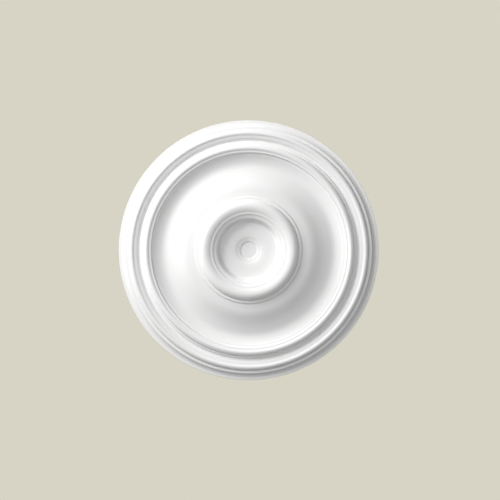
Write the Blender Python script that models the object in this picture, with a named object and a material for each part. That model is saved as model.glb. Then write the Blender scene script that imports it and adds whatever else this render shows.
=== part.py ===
"""Ceiling rose: a round ornament cast in one piece and fixed flat against a ceiling.

Metres, +Z up. The origin is the middle of the flat back, which meets the ceiling, and the face looks down.
The face is turned from mouldings that follow each other from the rim to the middle.
"""
import math
from typing import NamedTuple

import bmesh
import bpy

MM = 0.001

# The whole disc
OUTER_RADIUS = 200.0 * MM
EDGE_HEIGHT = 2.6 * MM
EDGE_ROUND_WIDTH = 0.4 * MM
EDGE_ROUND_RISE = 0.3 * MM
RIM_FLAT_WIDTH = 3.5 * MM
RIM_FLAT_RISE = 0.25 * MM

# Outer border, from the rim inwards
RIM_CAVETTO_WIDTH = 6.9 * MM
RIM_CAVETTO_RISE = 4.9 * MM
RIM_CAVETTO_TURN = 40.0
RIM_FILLET_WIDTH = 4.1 * MM
RIM_FILLET_RISE = 0.1 * MM
RIM_OVOLO_WIDTH = 5.4 * MM
RIM_OVOLO_RISE = 4.4 * MM
RIM_OVOLO_TURN = 68.0
RIM_CREST_WIDTH = 3.3 * MM
RIM_CREST_FALL = 1.4 * MM
RIM_CREST_TURN = 46.0
RIM_LEDGE_WIDTH = 4.0 * MM
RIM_LEDGE_FALL = 0.6 * MM

# Quirk, the narrow groove between the two borders
QUIRK_WIDTH = 3.2 * MM
QUIRK_FALL = 2.5 * MM
QUIRK_FLOOR_WIDTH = 1.8 * MM

# Inner border, a small step up to a quarter round and two ledges down to a scotia
RISER_WIDTH = 2.3 * MM
RISER_RISE = 2.3 * MM
RISER_FILLET_WIDTH = 2.0 * MM
RISER_FILLET_RISE = 0.1 * MM
BORDER_OVOLO_WIDTH = 6.2 * MM
BORDER_OVOLO_RISE = 5.6 * MM
BORDER_OVOLO_TURN = 74.0
BORDER_CREST_WIDTH = 3.9 * MM
BORDER_CREST_FALL = 1.7 * MM
BORDER_CREST_TURN = 44.0
BORDER_LEDGE_WIDTH = 2.9 * MM
BORDER_LEDGE_FALL = 0.1 * MM
BORDER_STEP_WIDTH = 1.6 * MM
BORDER_STEP_FALL = 3.7 * MM
INNER_LEDGE_WIDTH = 2.5 * MM
INNER_LEDGE_FALL = 0.2 * MM
SCOTIA_WIDTH = 13.6 * MM
SCOTIA_FALL = 3.75 * MM
SCOTIA_TURN = 24.0

# Field, the broad ogee that fills the width left between the borders and the boss.
# Each stretch has a share of that width and a share of the rise.
FIELD_RISE = 14.8 * MM
FIELD_COVE_SHARE = (0.150, 0.090)
FIELD_SLOPE_SHARE = (0.375, 0.490)
FIELD_SHOULDER_SHARE = (0.281, 0.345)
FIELD_APRON_SHARE = (0.194, 0.075)
FIELD_COVE_TURN = 16.0
FIELD_SLOPE_TURN = 10.0
FIELD_SHOULDER_TURN = 16.0

# Boss, from its foot to its crest
FOOT_STEP_WIDTH = 2.3 * MM
FOOT_STEP_RISE = 2.0 * MM
FOOT_FILLET_WIDTH = 3.3 * MM
FOOT_FILLET_RISE = 0.1 * MM
TORUS_OUTER_WIDTH = 10.0 * MM
TORUS_OUTER_RISE = 7.2 * MM
TORUS_OUTER_TURN = 68.0

# Dish, from the crest of the boss down to its floor
TORUS_INNER_WIDTH = 8.9 * MM
TORUS_INNER_FALL = 2.45 * MM
TORUS_INNER_TURN = 32.0
LIP_WIDTH = 3.1 * MM
LIP_FALL = 0.5 * MM
LIP_STEP_WIDTH = 1.8 * MM
LIP_STEP_FALL = 1.9 * MM
LOWER_LIP_WIDTH = 4.0 * MM
LOWER_LIP_FALL = 1.1 * MM
DISH_BROW_WIDTH = 3.4 * MM
DISH_BROW_FALL = 4.9 * MM
DISH_BROW_TURN = 24.0
DISH_COVE_WIDTH = 3.8 * MM
DISH_COVE_FALL = 5.0 * MM
DISH_COVE_TURN = 44.0
DISH_FLOOR_WIDTH = 12.6 * MM

# Small round recess in the middle of the dish
DISH_RING_WIDTH = 7.6 * MM
DISH_RING_FALL = 0.6 * MM
RECESS_BROW_WIDTH = 4.6 * MM
RECESS_BROW_FALL = 1.5 * MM
RECESS_BROW_TURN = 15.0
RECESS_FILLET_WIDTH = 3.5 * MM
RECESS_FILLET_FALL = 0.75 * MM
RECESS_STEP_WIDTH = 1.3 * MM
RECESS_STEP_FALL = 1.7 * MM
RECESS_FLOOR_RADIUS = 12.6 * MM

# Back: grooves that key the adhesive
KEY_GROOVE_RADII = (75.0 * MM, 150.0 * MM)
KEY_GROOVE_WIDTH = 6.0 * MM
KEY_GROOVE_DEPTH = 1.5 * MM
KEY_GROOVE_DRAFT = 0.8 * MM

# Smoothness of the turned solid
SIDES = 64
ARC_STEP = 15.0
MERGE_DISTANCE = 0.00001
SHARP_ANGLE = 24.0

# Primed white casting: linear colour, roughness
PRIMER_COLOUR = (0.80, 0.80, 0.79, 1.0)
PRIMER_ROUGHNESS = 0.55


class Moulding(NamedTuple):
    """One stretch of the face: how far it goes towards the middle and how far it stands out or falls back.

    turn is the angle in degrees through which its arc turns. It is positive where the arc bulges,
    negative where it is hollow, and zero on a straight stretch.
    """
    width: float
    rise: float
    turn: float = 0.0


def border_mouldings():
    """The mouldings from the straight edge to the field."""
    return (
        Moulding(EDGE_ROUND_WIDTH, EDGE_ROUND_RISE),
        Moulding(RIM_FLAT_WIDTH, RIM_FLAT_RISE),
        Moulding(RIM_CAVETTO_WIDTH, RIM_CAVETTO_RISE, -RIM_CAVETTO_TURN),
        Moulding(RIM_FILLET_WIDTH, RIM_FILLET_RISE),
        Moulding(RIM_OVOLO_WIDTH, RIM_OVOLO_RISE, RIM_OVOLO_TURN),
        Moulding(RIM_CREST_WIDTH, -RIM_CREST_FALL, RIM_CREST_TURN),
        Moulding(RIM_LEDGE_WIDTH, -RIM_LEDGE_FALL),
        Moulding(QUIRK_WIDTH, -QUIRK_FALL),
        Moulding(QUIRK_FLOOR_WIDTH, 0.0),
        Moulding(RISER_WIDTH, RISER_RISE),
        Moulding(RISER_FILLET_WIDTH, RISER_FILLET_RISE),
        Moulding(BORDER_OVOLO_WIDTH, BORDER_OVOLO_RISE, BORDER_OVOLO_TURN),
        Moulding(BORDER_CREST_WIDTH, -BORDER_CREST_FALL, BORDER_CREST_TURN),
        Moulding(BORDER_LEDGE_WIDTH, -BORDER_LEDGE_FALL),
        Moulding(BORDER_STEP_WIDTH, -BORDER_STEP_FALL),
        Moulding(INNER_LEDGE_WIDTH, -INNER_LEDGE_FALL),
        Moulding(SCOTIA_WIDTH, -SCOTIA_FALL, -SCOTIA_TURN),
    )


def boss_mouldings():
    """The mouldings from the foot of the boss to the floor of the small recess."""
    return (
        Moulding(FOOT_STEP_WIDTH, FOOT_STEP_RISE),
        Moulding(FOOT_FILLET_WIDTH, FOOT_FILLET_RISE),
        Moulding(TORUS_OUTER_WIDTH, TORUS_OUTER_RISE, TORUS_OUTER_TURN),
        Moulding(TORUS_INNER_WIDTH, -TORUS_INNER_FALL, TORUS_INNER_TURN),
        Moulding(LIP_WIDTH, -LIP_FALL),
        Moulding(LIP_STEP_WIDTH, -LIP_STEP_FALL),
        Moulding(LOWER_LIP_WIDTH, -LOWER_LIP_FALL),
        Moulding(DISH_BROW_WIDTH, -DISH_BROW_FALL, DISH_BROW_TURN),
        Moulding(DISH_COVE_WIDTH, -DISH_COVE_FALL, -DISH_COVE_TURN),
        Moulding(DISH_FLOOR_WIDTH, 0.0),
        Moulding(DISH_RING_WIDTH, -DISH_RING_FALL),
        Moulding(RECESS_BROW_WIDTH, -RECESS_BROW_FALL, RECESS_BROW_TURN),
        Moulding(RECESS_FILLET_WIDTH, -RECESS_FILLET_FALL),
        Moulding(RECESS_STEP_WIDTH, -RECESS_STEP_FALL),
    )


def field_mouldings(width):
    """The broad ogee across the given width: hollow, slope, shoulder and a flatter apron up to the boss."""
    stretches = (
        (FIELD_COVE_SHARE, -FIELD_COVE_TURN),
        (FIELD_SLOPE_SHARE, -FIELD_SLOPE_TURN),
        (FIELD_SHOULDER_SHARE, FIELD_SHOULDER_TURN),
        (FIELD_APRON_SHARE, 0.0),
    )
    return tuple(
        Moulding(width * across, FIELD_RISE * outwards, turn)
        for (across, outwards), turn in stretches
    )


def moulding_points(start, moulding):
    """The points of one moulding after its start, each a radius and a drop below the ceiling."""
    radius, drop = start
    steps = max(1, math.ceil(abs(moulding.turn) / ARC_STEP))
    half_turn = math.radians(moulding.turn) / 2.0
    points = []
    for step in range(1, steps + 1):
        along = step / steps
        bulge = 0.0
        if half_turn:
            angle = half_turn * (2.0 * along - 1.0)
            along = (math.sin(angle) / math.sin(half_turn) + 1.0) / 2.0
            bulge = (math.cos(angle) - math.cos(half_turn)) / (2.0 * math.sin(half_turn))
        inwards = moulding.width * along - moulding.rise * bulge
        outwards = moulding.rise * along + moulding.width * bulge
        points.append((radius - inwards, drop + outwards))
    return points


def face_outline():
    """The face from the outer edge at the ceiling to the middle of the recess."""
    border = border_mouldings()
    boss = boss_mouldings()
    used_width = sum(moulding.width for moulding in border + boss) + RECESS_FLOOR_RADIUS
    field = field_mouldings(OUTER_RADIUS - used_width)
    outline = [(OUTER_RADIUS, 0.0), (OUTER_RADIUS, EDGE_HEIGHT)]
    for moulding in border + field + boss:
        outline += moulding_points(outline[-1], moulding)
    outline.append((0.0, outline[-1][1]))
    return outline


def back_outline():
    """The back from its middle to the outer edge, flat but for the keying grooves."""
    outline = [(0.0, 0.0)]
    half_mouth = KEY_GROOVE_WIDTH / 2.0
    half_floor = half_mouth - KEY_GROOVE_DRAFT
    for radius in KEY_GROOVE_RADII:
        outline += [
            (radius - half_mouth, 0.0),
            (radius - half_floor, KEY_GROOVE_DEPTH),
            (radius + half_floor, KEY_GROOVE_DEPTH),
            (radius + half_mouth, 0.0),
        ]
    return outline


def turned_mesh(name, outline):
    """A closed solid turned about Z from an outline that starts and ends on the axis."""
    shape = bmesh.new()
    verts = [shape.verts.new((radius, 0.0, -drop)) for radius, drop in outline]
    edges = [shape.edges.new(pair) for pair in zip(verts, verts[1:])]
    bmesh.ops.spin(
        shape,
        geom=verts + edges,
        axis=(0.0, 0.0, 1.0),
        cent=(0.0, 0.0, 0.0),
        angle=math.tau,
        steps=SIDES,
    )
    bmesh.ops.remove_doubles(shape, verts=shape.verts, dist=MERGE_DISTANCE)
    bmesh.ops.recalc_face_normals(shape, faces=shape.faces)
    mesh = bpy.data.meshes.new(name)
    shape.to_mesh(mesh)
    shape.free()
    mesh.shade_smooth()
    mesh.set_sharp_from_angle(angle=math.radians(SHARP_ANGLE))
    return mesh


def primed_casting():
    """The rose's finish: a smooth foam casting in white factory primer."""
    material = bpy.data.materials.new("white_primed_casting")
    material.use_nodes = True
    shader = material.node_tree.nodes["Principled BSDF"]
    shader.inputs["Base Color"].default_value = PRIMER_COLOUR
    shader.inputs["Roughness"].default_value = PRIMER_ROUGHNESS
    shader.inputs["Metallic"].default_value = 0.0
    return material


def clear_scene():
    for item in list(bpy.data.objects):
        bpy.data.objects.remove(item)


def build():
    clear_scene()
    mesh = turned_mesh("ceiling_rose", back_outline() + face_outline())
    mesh.materials.append(primed_casting())
    rose = bpy.data.objects.new("ceiling_rose", mesh)
    bpy.context.scene.collection.objects.link(rose)
    return rose


build()
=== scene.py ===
import math
from typing import NamedTuple

import bpy
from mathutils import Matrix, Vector


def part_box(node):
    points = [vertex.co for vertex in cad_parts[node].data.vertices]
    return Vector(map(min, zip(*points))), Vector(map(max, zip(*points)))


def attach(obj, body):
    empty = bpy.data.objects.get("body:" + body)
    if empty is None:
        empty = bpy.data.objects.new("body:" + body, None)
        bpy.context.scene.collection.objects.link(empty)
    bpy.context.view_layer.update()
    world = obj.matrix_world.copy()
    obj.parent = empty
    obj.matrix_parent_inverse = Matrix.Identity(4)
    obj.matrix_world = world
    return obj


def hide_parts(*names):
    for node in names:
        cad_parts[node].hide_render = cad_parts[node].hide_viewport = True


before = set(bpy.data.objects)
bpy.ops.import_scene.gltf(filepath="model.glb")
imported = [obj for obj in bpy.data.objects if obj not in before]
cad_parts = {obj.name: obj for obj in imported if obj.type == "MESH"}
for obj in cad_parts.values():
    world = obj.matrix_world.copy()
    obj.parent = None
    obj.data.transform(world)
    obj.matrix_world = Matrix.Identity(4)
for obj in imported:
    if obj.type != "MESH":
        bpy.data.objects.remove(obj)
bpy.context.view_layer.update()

# A ceiling rose turned in plain mouldings: one casting of dense foam in white spray primer.
# The flat back lies against the ceiling at z = 0 and the face looks down.

MM = 0.001
OUTER_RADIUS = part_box("ceiling_rose")[1].x

# Smoothness of the turned surface
TURNS = 320
ARC_STEP = math.radians(4.0)
ARRIS_ANGLE = math.radians(10.0)
ARRIS_SOFTENING = 0.3 * MM
ARRIS_SEGMENTS = 3
SMOOTH_ANGLE = math.radians(40.0)
MERGE_DISTANCE = 0.01 * MM

# Keying grooves in the back
KEY_GROOVE_RADII = (75.0 * MM, 150.0 * MM)
KEY_GROOVE_WIDTH = 6.0 * MM
KEY_GROOVE_DEPTH = 1.5 * MM
KEY_GROOVE_DRAFT = 0.8 * MM

# The straight edge, the floor of the small recess, and how far the field stands out from end to end
EDGE_HEIGHT = 2.6 * MM
RECESS_FLOOR_RADIUS = 12.6 * MM
FIELD_RISE = 14.8 * MM


class Moulding(NamedTuple):
    """A stretch of the face in millimetres and degrees.

    width goes towards the middle. rise stands out from the ceiling, or falls back where it is below zero.
    turn is how far its arc turns: above zero where it bulges, below zero where it is hollow.
    """
    name: str
    width: float
    rise: float
    turn: float = 0.0


BORDER = (
    Moulding("edge round", 0.4, 0.3),
    Moulding("rim flat", 3.5, 0.25),
    Moulding("rim cavetto", 6.9, 4.9, -40.0),
    Moulding("rim fillet", 4.1, 0.1),
    Moulding("rim ovolo", 5.4, 4.4, 68.0),
    Moulding("rim crest", 3.3, -1.4, 46.0),
    Moulding("rim ledge", 4.0, -0.6),
    Moulding("quirk", 3.2, -2.5),
    Moulding("quirk floor", 1.8, 0.0),
    Moulding("riser", 2.3, 2.3),
    Moulding("riser fillet", 2.0, 0.1),
    Moulding("border ovolo", 6.2, 5.6, 74.0),
    Moulding("border crest", 3.9, -1.7, 44.0),
    Moulding("border ledge", 2.9, -0.1),
    Moulding("border step", 1.6, -3.7),
    Moulding("inner ledge", 2.5, -0.2),
    Moulding("scotia", 13.6, -3.75, -24.0),
)

# The field fills the width that is left: here width and rise are shares of the field's own
FIELD = (
    Moulding("field cove", 0.150, 0.090, -16.0),
    Moulding("field slope", 0.375, 0.490, -10.0),
    Moulding("field shoulder", 0.281, 0.345, 16.0),
    Moulding("field apron", 0.194, 0.075),
)

BOSS = (
    Moulding("foot step", 2.3, 2.0),
    Moulding("foot fillet", 3.3, 0.1),
    Moulding("torus outside", 10.0, 7.2, 68.0),
    Moulding("torus inside", 8.9, -2.45, 32.0),
    Moulding("lip", 3.1, -0.5),
    Moulding("lip step", 1.8, -1.9),
    Moulding("lower lip", 4.0, -1.1),
    Moulding("dish brow", 3.4, -4.9, 24.0),
    Moulding("dish cove", 3.8, -5.0, -44.0),
    Moulding("dish floor", 12.6, 0.0),
    Moulding("dish ring", 7.6, -0.6),
    Moulding("recess brow", 4.6, -1.5, 15.0),
    Moulding("recess fillet", 3.5, -0.75),
    Moulding("recess step", 1.3, -1.7),
)

# The photograph's frame, and where the rose lies in it
PHOTO_SIDE_PX = 500.0
ROSE_CENTRE_PX = (248.7, 250.2)
ROSE_RADIUS_PX = 129.85
LENS_MM = 100.0
SENSOR_MM = 36.0

# Light: a large soft key at the photograph's upper left, low under the ceiling, a weak fill behind the
# camera, and a panel over the back for the views from above
KEY_DISTANCE = 3.0
KEY_ELEVATION = math.radians(22.0)
KEY_AZIMUTH = math.radians(141.0)
KEY_SIZE = 2.0
KEY_POWER = 129.7
FILL_PLACE = (0.0, 0.0, -2.4)
FILL_SIZE = 1.6
FILL_POWER = 22.8
BACK_PLACE = (0.6, -0.4, 2.5)
BACK_SIZE = 2.0
BACK_POWER = 62.0
AMBIENT = 0.112

# Backdrop and floor. The floor glows a little, to stay near the backdrop's tone
BACKDROP_COLOUR = "#D7D4C5"
FLOOR_COLOUR = "#EFEBDD"
FLOOR_GLOW = 0.60
FLOOR_ROUGHNESS = 0.9
FLOOR_DROP = 2.6
FLOOR_SIDE = 60.0

# Primer on the face: its clouds, its drier patches and its orange peel, across in mm
CLOUD_SIZE = 45.0
PATCH_SIZE = 6.0
PEEL_SIZE = 1.4
PEEL_HEIGHT = 0.006 * MM
PRIMER_THIN = "#E5E5E4"
PRIMER_THICK = "#E9E9E9"
PRIMER_ROUGHNESS = (0.55, 0.65)
PRIMER_IOR = 1.49
PRIMER_SPECULAR = 0.3

# Bare foam on the back: its flow marks and the marks of the sanding belt, across in mm. Real belt marks
# are finer than 1 mm and are drawn 3 mm wide here, so that they show
FLOW_SIZE = 55.0
BELT_MARK_WIDTH = 3.0
BELT_MARK_STRETCH = 50.0
BELT_MARK_STRENGTH = 0.5
BELT_TURN = math.radians(24.0)
SKIN_DEEP = "#E4DDCB"
SKIN_PALE = "#ECE6D6"
SKIN_SANDED = "#F4F0E4"
SKIN_ROUGHNESS = 0.78

# Pores of the bare foam: cell in mm, the chance below which a cell has none, and the widest pore in mm
LARGE_PORES = (11.0, 0.55, 2.0)
SMALL_PORES = (4.0, 0.35, 1.0)
# The pores' colour is painted shadow: the darker cream of the shade inside each pit
PAINTED_PORE_SHADOW = "#A99D80"
PORE_DEPTH = 0.2 * MM

# Overspray: primer that crept round the edge onto the back. On average it covers the outermost 4 mm and
# is gone 14 mm in. Its edge is torn by noise, which can shift it over the range of the creep
OVERSPRAY_FULL = 4.0 * MM
OVERSPRAY_GONE = 14.0 * MM
OVERSPRAY_CREEP = 16.0 * MM
OVERSPRAY_TEAR_SIZE = 9.0

# Bare skin lies above this depth, just past the floor of the keying grooves
BACK_REACH = KEY_GROOVE_DEPTH + 0.5 * MM


def deselect_all():
    bpy.ops.object.select_all(action="DESELECT")


def field_in_mm():
    """The field's mouldings at their real size, in the width that border and boss leave."""
    used = sum(moulding.width for moulding in BORDER + BOSS) * MM + RECESS_FLOOR_RADIUS
    width = (OUTER_RADIUS - used) / MM
    rise = FIELD_RISE / MM
    return tuple(
        Moulding(stretch.name, stretch.width * width, stretch.rise * rise, stretch.turn)
        for stretch in FIELD
    )


def draw_line(end, step):
    """Extrude the selected end of the section by a step towards the axis and outwards."""
    move = Vector((-step[0], 0.0, -step[1]))
    bpy.ops.mesh.extrude_vertices_move(TRANSFORM_OT_translate={"value": move})
    return end + move


def draw_arc(end, moulding):
    """Spin the selected end of the section round the centre of the moulding's arc."""
    chord = Vector((-moulding.width * MM, 0.0, -moulding.rise * MM))
    turn = math.radians(moulding.turn)
    into_body = Vector((chord.z, 0.0, -chord.x)).normalized()
    to_centre = chord.length / (2.0 * math.tan(turn / 2.0))
    bpy.ops.mesh.spin(
        steps=math.ceil(abs(turn) / ARC_STEP),
        angle=turn,
        center=end + chord / 2.0 + into_body * to_centre,
        axis=(0.0, -1.0, 0.0),
    )
    return end + chord


def draw_section():
    """Draw the half section from the middle of the back, round the edge, to the middle of the recess."""
    end = Vector((0.0, 0.0, 0.0))
    half_mouth = KEY_GROOVE_WIDTH / 2.0
    for radius in KEY_GROOVE_RADII:
        end = draw_line(end, (end.x - radius + half_mouth, 0.0))
        end = draw_line(end, (-KEY_GROOVE_DRAFT, KEY_GROOVE_DEPTH))
        end = draw_line(end, (2.0 * KEY_GROOVE_DRAFT - KEY_GROOVE_WIDTH, 0.0))
        end = draw_line(end, (-KEY_GROOVE_DRAFT, -KEY_GROOVE_DEPTH))
    end = draw_line(end, (end.x - OUTER_RADIUS, 0.0))
    end = draw_line(end, (0.0, EDGE_HEIGHT))
    for moulding in BORDER + field_in_mm() + BOSS:
        if moulding.turn:
            end = draw_arc(end, moulding)
        else:
            end = draw_line(end, (moulding.width * MM, moulding.rise * MM))
    draw_line(end, (end.x, 0.0))


def select_arrises(mesh):
    """Select the section's corners, where one moulding meets the next at an angle."""
    neighbours = {vertex.index: [] for vertex in mesh.vertices}
    for edge in mesh.edges:
        first, second = edge.vertices
        neighbours[first].append(second)
        neighbours[second].append(first)
    for vertex in mesh.vertices:
        vertex.select = False
        if len(neighbours[vertex.index]) == 2:
            before, after = (mesh.vertices[index].co for index in neighbours[vertex.index])
            vertex.select = (vertex.co - before).angle(after - vertex.co) > ARRIS_ANGLE


def turned_casting():
    """The whole rose: its section is drawn from one point, softened at the arrises and turned."""
    deselect_all()
    bpy.ops.mesh.primitive_plane_add(size=EDGE_HEIGHT)
    rose = bpy.context.object
    rose.name = "rose_casting"
    rose.data.name = "rose_casting"
    bpy.ops.object.mode_set(mode="EDIT")
    bpy.ops.mesh.select_mode(type="VERT")
    bpy.ops.mesh.select_all(action="SELECT")
    bpy.ops.mesh.merge(type="CENTER")
    draw_section()
    bpy.ops.object.mode_set(mode="OBJECT")
    select_arrises(rose.data)
    bpy.ops.object.mode_set(mode="EDIT")
    bpy.ops.mesh.bevel(
        offset=ARRIS_SOFTENING,
        segments=ARRIS_SEGMENTS,
        affect="VERTICES",
        clamp_overlap=True,
    )
    bpy.ops.mesh.select_all(action="SELECT")
    bpy.ops.mesh.spin(steps=TURNS, angle=math.tau, center=(0.0, 0.0, 0.0), axis=(0.0, 0.0, 1.0))
    bpy.ops.mesh.select_all(action="SELECT")
    bpy.ops.mesh.remove_doubles(threshold=MERGE_DISTANCE)
    bpy.ops.mesh.normals_make_consistent(inside=False)
    bpy.ops.object.mode_set(mode="OBJECT")
    bpy.ops.object.shade_smooth_by_angle(angle=SMOOTH_ANGLE)
    return rose


def linear(hex_colour):
    """An sRGB hex colour as linear RGBA."""
    channels = (int(hex_colour[place:place + 2], 16) / 255.0 for place in (1, 3, 5))
    return tuple(c / 12.92 if c <= 0.04045 else ((c + 0.055) / 1.055) ** 2.4 for c in channels) + (1.0,)


def add_node(tree, kind, settings=None, inputs=None):
    """Add a node with its settings. An input takes a value, or another node's output as its link."""
    node = tree.nodes.new(kind)
    for name, value in (settings or {}).items():
        setattr(node, name, value)
    for socket, value in (inputs or {}).items():
        if isinstance(value, bpy.types.NodeSocket):
            tree.links.new(value, node.inputs[socket])
        else:
            node.inputs[socket].default_value = value
    return node


def per_metre(size_mm):
    """The scale of a pattern whose cells measure this many millimetres."""
    return 1.0 / (size_mm * MM)


def primer_colour(tree, place):
    """Neutral white, in faint clouds where the spray lay thicker."""
    clouds = add_node(tree, "ShaderNodeTexNoise", inputs={
        "Vector": place, "Scale": per_metre(CLOUD_SIZE), "Detail": 3.0, "Roughness": 0.5,
    }).outputs["Fac"]
    return add_node(tree, "ShaderNodeMix", {"data_type": "RGBA"}, {
        0: clouds, 6: linear(PRIMER_THIN), 7: linear(PRIMER_THICK),
    }).outputs[2]


def pore_mask(tree, place):
    """One inside a pore. Each kind of pore sits at random in its own cells, and many cells have none."""
    masks = []
    for cell_mm, first_chance, pore_mm in (LARGE_PORES, SMALL_PORES):
        cells = add_node(tree, "ShaderNodeTexVoronoi", inputs={
            "Vector": place, "Scale": per_metre(cell_mm),
        })
        chance = add_node(tree, "ShaderNodeSeparateColor", inputs={"Color": cells.outputs["Color"]})
        radius = add_node(tree, "ShaderNodeMapRange", inputs={
            "Value": chance.outputs["Red"], "From Min": first_chance, "From Max": 1.0,
            "To Min": 0.0, "To Max": pore_mm / 2.0 / cell_mm,
        })
        inside = add_node(tree, "ShaderNodeMath", {"operation": "LESS_THAN"}, {
            0: cells.outputs["Distance"], 1: radius.outputs["Result"],
        })
        masks.append(inside.outputs["Value"])
    large, small = masks
    return add_node(tree, "ShaderNodeMath", {"operation": "MAXIMUM"}, {
        0: large, 1: small,
    }).outputs["Value"]


def bare_skin_colour(tree, place, pores):
    """Creamy foam with slow flow marks, the straight marks of the belt that flatted it, and painted
    shadow in its pores.
    """
    flow = add_node(tree, "ShaderNodeTexNoise", inputs={
        "Vector": place, "Scale": per_metre(FLOW_SIZE), "Detail": 4.0, "Distortion": 0.7,
    }).outputs["Fac"]
    flow_mark = add_node(tree, "ShaderNodeMapRange", inputs={
        "Value": flow, "From Min": 0.35, "From Max": 0.65, "To Min": 0.0, "To Max": 1.0,
    }).outputs["Result"]
    skin = add_node(tree, "ShaderNodeMix", {"data_type": "RGBA"}, {
        0: flow_mark, 6: linear(SKIN_DEEP), 7: linear(SKIN_PALE),
    }).outputs[2]

    along_belt = add_node(tree, "ShaderNodeMapping", inputs={
        "Vector": place, "Rotation": (0.0, 0.0, BELT_TURN), "Scale": (1.0 / BELT_MARK_STRETCH, 1.0, 1.0),
    }).outputs["Vector"]
    belt = add_node(tree, "ShaderNodeTexNoise", inputs={
        "Vector": along_belt, "Scale": per_metre(BELT_MARK_WIDTH), "Detail": 4.0, "Roughness": 0.65,
    }).outputs["Fac"]
    belt_mark = add_node(tree, "ShaderNodeMapRange", inputs={
        "Value": belt, "From Min": 0.48, "From Max": 0.68, "To Min": 0.0, "To Max": BELT_MARK_STRENGTH,
    }).outputs["Result"]
    sanded_skin = add_node(tree, "ShaderNodeMix", {"data_type": "RGBA"}, {
        0: belt_mark, 6: skin, 7: linear(SKIN_SANDED),
    }).outputs[2]

    # Painted shadow: inside the pores the skin turns a darker cream, where shade falls in the pits
    return add_node(tree, "ShaderNodeMix", {"data_type": "RGBA"}, {
        0: pores, 6: sanded_skin, 7: linear(PAINTED_PORE_SHADOW),
    }).outputs[2]


def bare_back_mask(tree, place):
    """One on the bare back and nought on primer, with a ragged band of overspray near the edge."""
    across = add_node(tree, "ShaderNodeVectorMath", {"operation": "MULTIPLY"}, {
        0: place, 1: (1.0, 1.0, 0.0),
    })
    radius = add_node(tree, "ShaderNodeVectorMath", {"operation": "LENGTH"}, {
        0: across.outputs["Vector"],
    }).outputs["Value"]
    ragged = add_node(tree, "ShaderNodeTexNoise", inputs={
        "Vector": place, "Scale": per_metre(OVERSPRAY_TEAR_SIZE), "Detail": 5.0, "Roughness": 0.65,
    }).outputs["Fac"]
    creep = add_node(tree, "ShaderNodeMath", {"operation": "MULTIPLY_ADD"}, {
        0: ragged, 1: OVERSPRAY_CREEP, 2: radius,
    }).outputs["Value"]
    edge = OUTER_RADIUS + OVERSPRAY_CREEP / 2.0
    bare = add_node(tree, "ShaderNodeMapRange", {"interpolation_type": "SMOOTHSTEP"}, {
        "Value": creep, "From Min": edge - OVERSPRAY_GONE, "From Max": edge - OVERSPRAY_FULL,
        "To Min": 1.0, "To Max": 0.0,
    }).outputs["Result"]
    height = add_node(tree, "ShaderNodeSeparateXYZ", inputs={"Vector": place}).outputs["Z"]
    behind = add_node(tree, "ShaderNodeMath", {"operation": "GREATER_THAN"}, {
        0: height, 1: -BACK_REACH,
    }).outputs["Value"]
    return add_node(tree, "ShaderNodeMath", {"operation": "MULTIPLY"}, {
        0: bare, 1: behind,
    }).outputs["Value"]


def surface_roughness(tree, place, bare_back):
    """Primer is satin with slightly drier patches, and bare skin is flatter."""
    patches = add_node(tree, "ShaderNodeTexNoise", inputs={
        "Vector": place, "Scale": per_metre(PATCH_SIZE), "Detail": 4.0,
    }).outputs["Fac"]
    primer = add_node(tree, "ShaderNodeMapRange", inputs={
        "Value": patches, "From Min": 0.3, "From Max": 0.7,
        "To Min": PRIMER_ROUGHNESS[0], "To Max": PRIMER_ROUGHNESS[1],
    }).outputs["Result"]
    return add_node(tree, "ShaderNodeMix", {"data_type": "FLOAT"}, {
        0: bare_back, 2: primer, 3: SKIN_ROUGHNESS,
    }).outputs[0]


def surface_relief(tree, place, bare_pores):
    """The orange peel of the spray, and pores sunk into the bare skin."""
    peel = add_node(tree, "ShaderNodeTexNoise", inputs={
        "Vector": place, "Scale": per_metre(PEEL_SIZE), "Detail": 2.0, "Roughness": 0.45,
    }).outputs["Fac"]
    peel_bump = add_node(tree, "ShaderNodeBump", inputs={
        "Strength": 1.0, "Distance": PEEL_HEIGHT, "Height": peel,
    }).outputs["Normal"]
    return add_node(tree, "ShaderNodeBump", {"invert": True}, {
        "Strength": 0.8, "Distance": PORE_DEPTH, "Height": bare_pores, "Normal": peel_bump,
    }).outputs["Normal"]


def primed_foam_casting():
    """Dense polyurethane foam, moulded smooth and sprayed with white primer.

    The face is an even, neutral white with a low sheen and, close to, the fine orange peel of spray.
    The back is bare foam, flatted on a belt: creamier, with open pores darkened by painted shadow,
    and dusted with primer near the edge.
    """
    material = bpy.data.materials.new("spray_primed_polyurethane_casting")
    material.use_nodes = True
    tree = material.node_tree
    place = add_node(tree, "ShaderNodeTexCoord").outputs["Object"]
    pores = pore_mask(tree, place)
    bare_back = bare_back_mask(tree, place)
    colour = add_node(tree, "ShaderNodeMix", {"data_type": "RGBA"}, {
        0: bare_back, 6: primer_colour(tree, place), 7: bare_skin_colour(tree, place, pores),
    }).outputs[2]
    bare_pores = add_node(tree, "ShaderNodeMath", {"operation": "MULTIPLY"}, {
        0: pores, 1: bare_back,
    }).outputs["Value"]

    shader = tree.nodes["Principled BSDF"]
    tree.links.new(colour, shader.inputs["Base Color"])
    tree.links.new(surface_roughness(tree, place, bare_back), shader.inputs["Roughness"])
    tree.links.new(surface_relief(tree, place, bare_pores), shader.inputs["Normal"])
    shader.inputs["Metallic"].default_value = 0.0
    shader.inputs["IOR"].default_value = PRIMER_IOR
    shader.inputs["Specular IOR Level"].default_value = PRIMER_SPECULAR
    return material


def soft_light(name, place, size, power):
    """A round studio panel that faces the rose and isn't seen itself."""
    bpy.ops.object.light_add(type="AREA", location=place)
    lamp = bpy.context.object
    lamp.name = name
    lamp.data.shape = "DISK"
    lamp.data.size = size
    lamp.data.energy = power
    lamp.visible_camera = False
    towards_rose = Vector((0.0, 0.0, 0.0)) - lamp.location
    lamp.rotation_euler = towards_rose.to_track_quat("-Z", "Y").to_euler()


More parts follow.
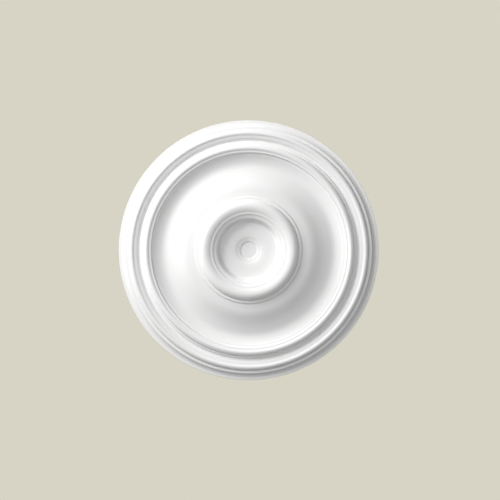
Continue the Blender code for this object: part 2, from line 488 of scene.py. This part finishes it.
def studio_light():
    """A soft key and a fill on the face, and a panel over the back."""
    along = math.cos(KEY_ELEVATION)
    key_direction = Vector((
        along * math.cos(KEY_AZIMUTH),
        -along * math.sin(KEY_AZIMUTH),
        -math.sin(KEY_ELEVATION),
    ))
    soft_light("key_panel", key_direction * KEY_DISTANCE, KEY_SIZE, KEY_POWER)
    soft_light("front_fill", FILL_PLACE, FILL_SIZE, FILL_POWER)
    soft_light("back_panel", BACK_PLACE, BACK_SIZE, BACK_POWER)


def backdrop():
    """Even light from all round, and the photograph's pale backdrop where the camera looks past."""
    world = bpy.data.worlds.new("studio")
    world.use_nodes = True
    tree = world.node_tree
    tree.nodes.clear()
    light = add_node(tree, "ShaderNodeBackground", inputs={
        "Color": linear("#FFFFFF"), "Strength": AMBIENT,
    })
    seen = add_node(tree, "ShaderNodeBackground", inputs={
        "Color": linear(BACKDROP_COLOUR), "Strength": 1.0,
    })
    ray = add_node(tree, "ShaderNodeLightPath").outputs["Is Camera Ray"]
    mixed = add_node(tree, "ShaderNodeMixShader", inputs={
        0: ray, 1: light.outputs["Background"], 2: seen.outputs["Background"],
    })
    add_node(tree, "ShaderNodeOutputWorld", inputs={"Surface": mixed.outputs["Shader"]})
    bpy.context.scene.world = world


def studio_floor():
    """A plain pale floor at a room's height below the ceiling. It throws no light back on the face."""
    deselect_all()
    bpy.ops.mesh.primitive_plane_add(size=FLOOR_SIDE, location=(0.0, 0.0, -FLOOR_DROP))
    floor = bpy.context.object
    floor.name = "studio_floor"
    material = bpy.data.materials.new("pale_matt_floor")
    material.use_nodes = True
    shader = material.node_tree.nodes["Principled BSDF"]
    shader.inputs["Base Color"].default_value = linear(FLOOR_COLOUR)
    shader.inputs["Roughness"].default_value = FLOOR_ROUGHNESS
    shader.inputs["Emission Color"].default_value = linear(FLOOR_COLOUR)
    shader.inputs["Emission Strength"].default_value = FLOOR_GLOW
    floor.data.materials.append(material)
    floor.visible_diffuse = False
    floor.visible_glossy = False


def camera_below():
    """The photograph's view: square on from below, with the rose where the photograph shows it."""
    metres_per_px = OUTER_RADIUS / ROSE_RADIUS_PX
    distance = LENS_MM / SENSOR_MM * PHOTO_SIDE_PX * metres_per_px
    right = (PHOTO_SIDE_PX / 2.0 - ROSE_CENTRE_PX[0]) * metres_per_px
    down = (PHOTO_SIDE_PX / 2.0 - ROSE_CENTRE_PX[1]) * metres_per_px
    bpy.ops.object.camera_add(
        location=(right, down, -EDGE_HEIGHT - distance),
        rotation=(math.pi, 0.0, 0.0),
    )
    camera = bpy.context.object
    camera.name = "photo_camera"
    camera.data.lens = LENS_MM
    camera.data.sensor_width = SENSOR_MM
    bpy.context.scene.camera = camera


rose = turned_casting()
rose.data.materials.append(primed_foam_casting())
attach(rose, "root")
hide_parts("ceiling_rose")

backdrop()
studio_light()
studio_floor()
camera_below()

# Colours as they are, with no film curve over the white
bpy.context.scene.view_settings.view_transform = "Standard"
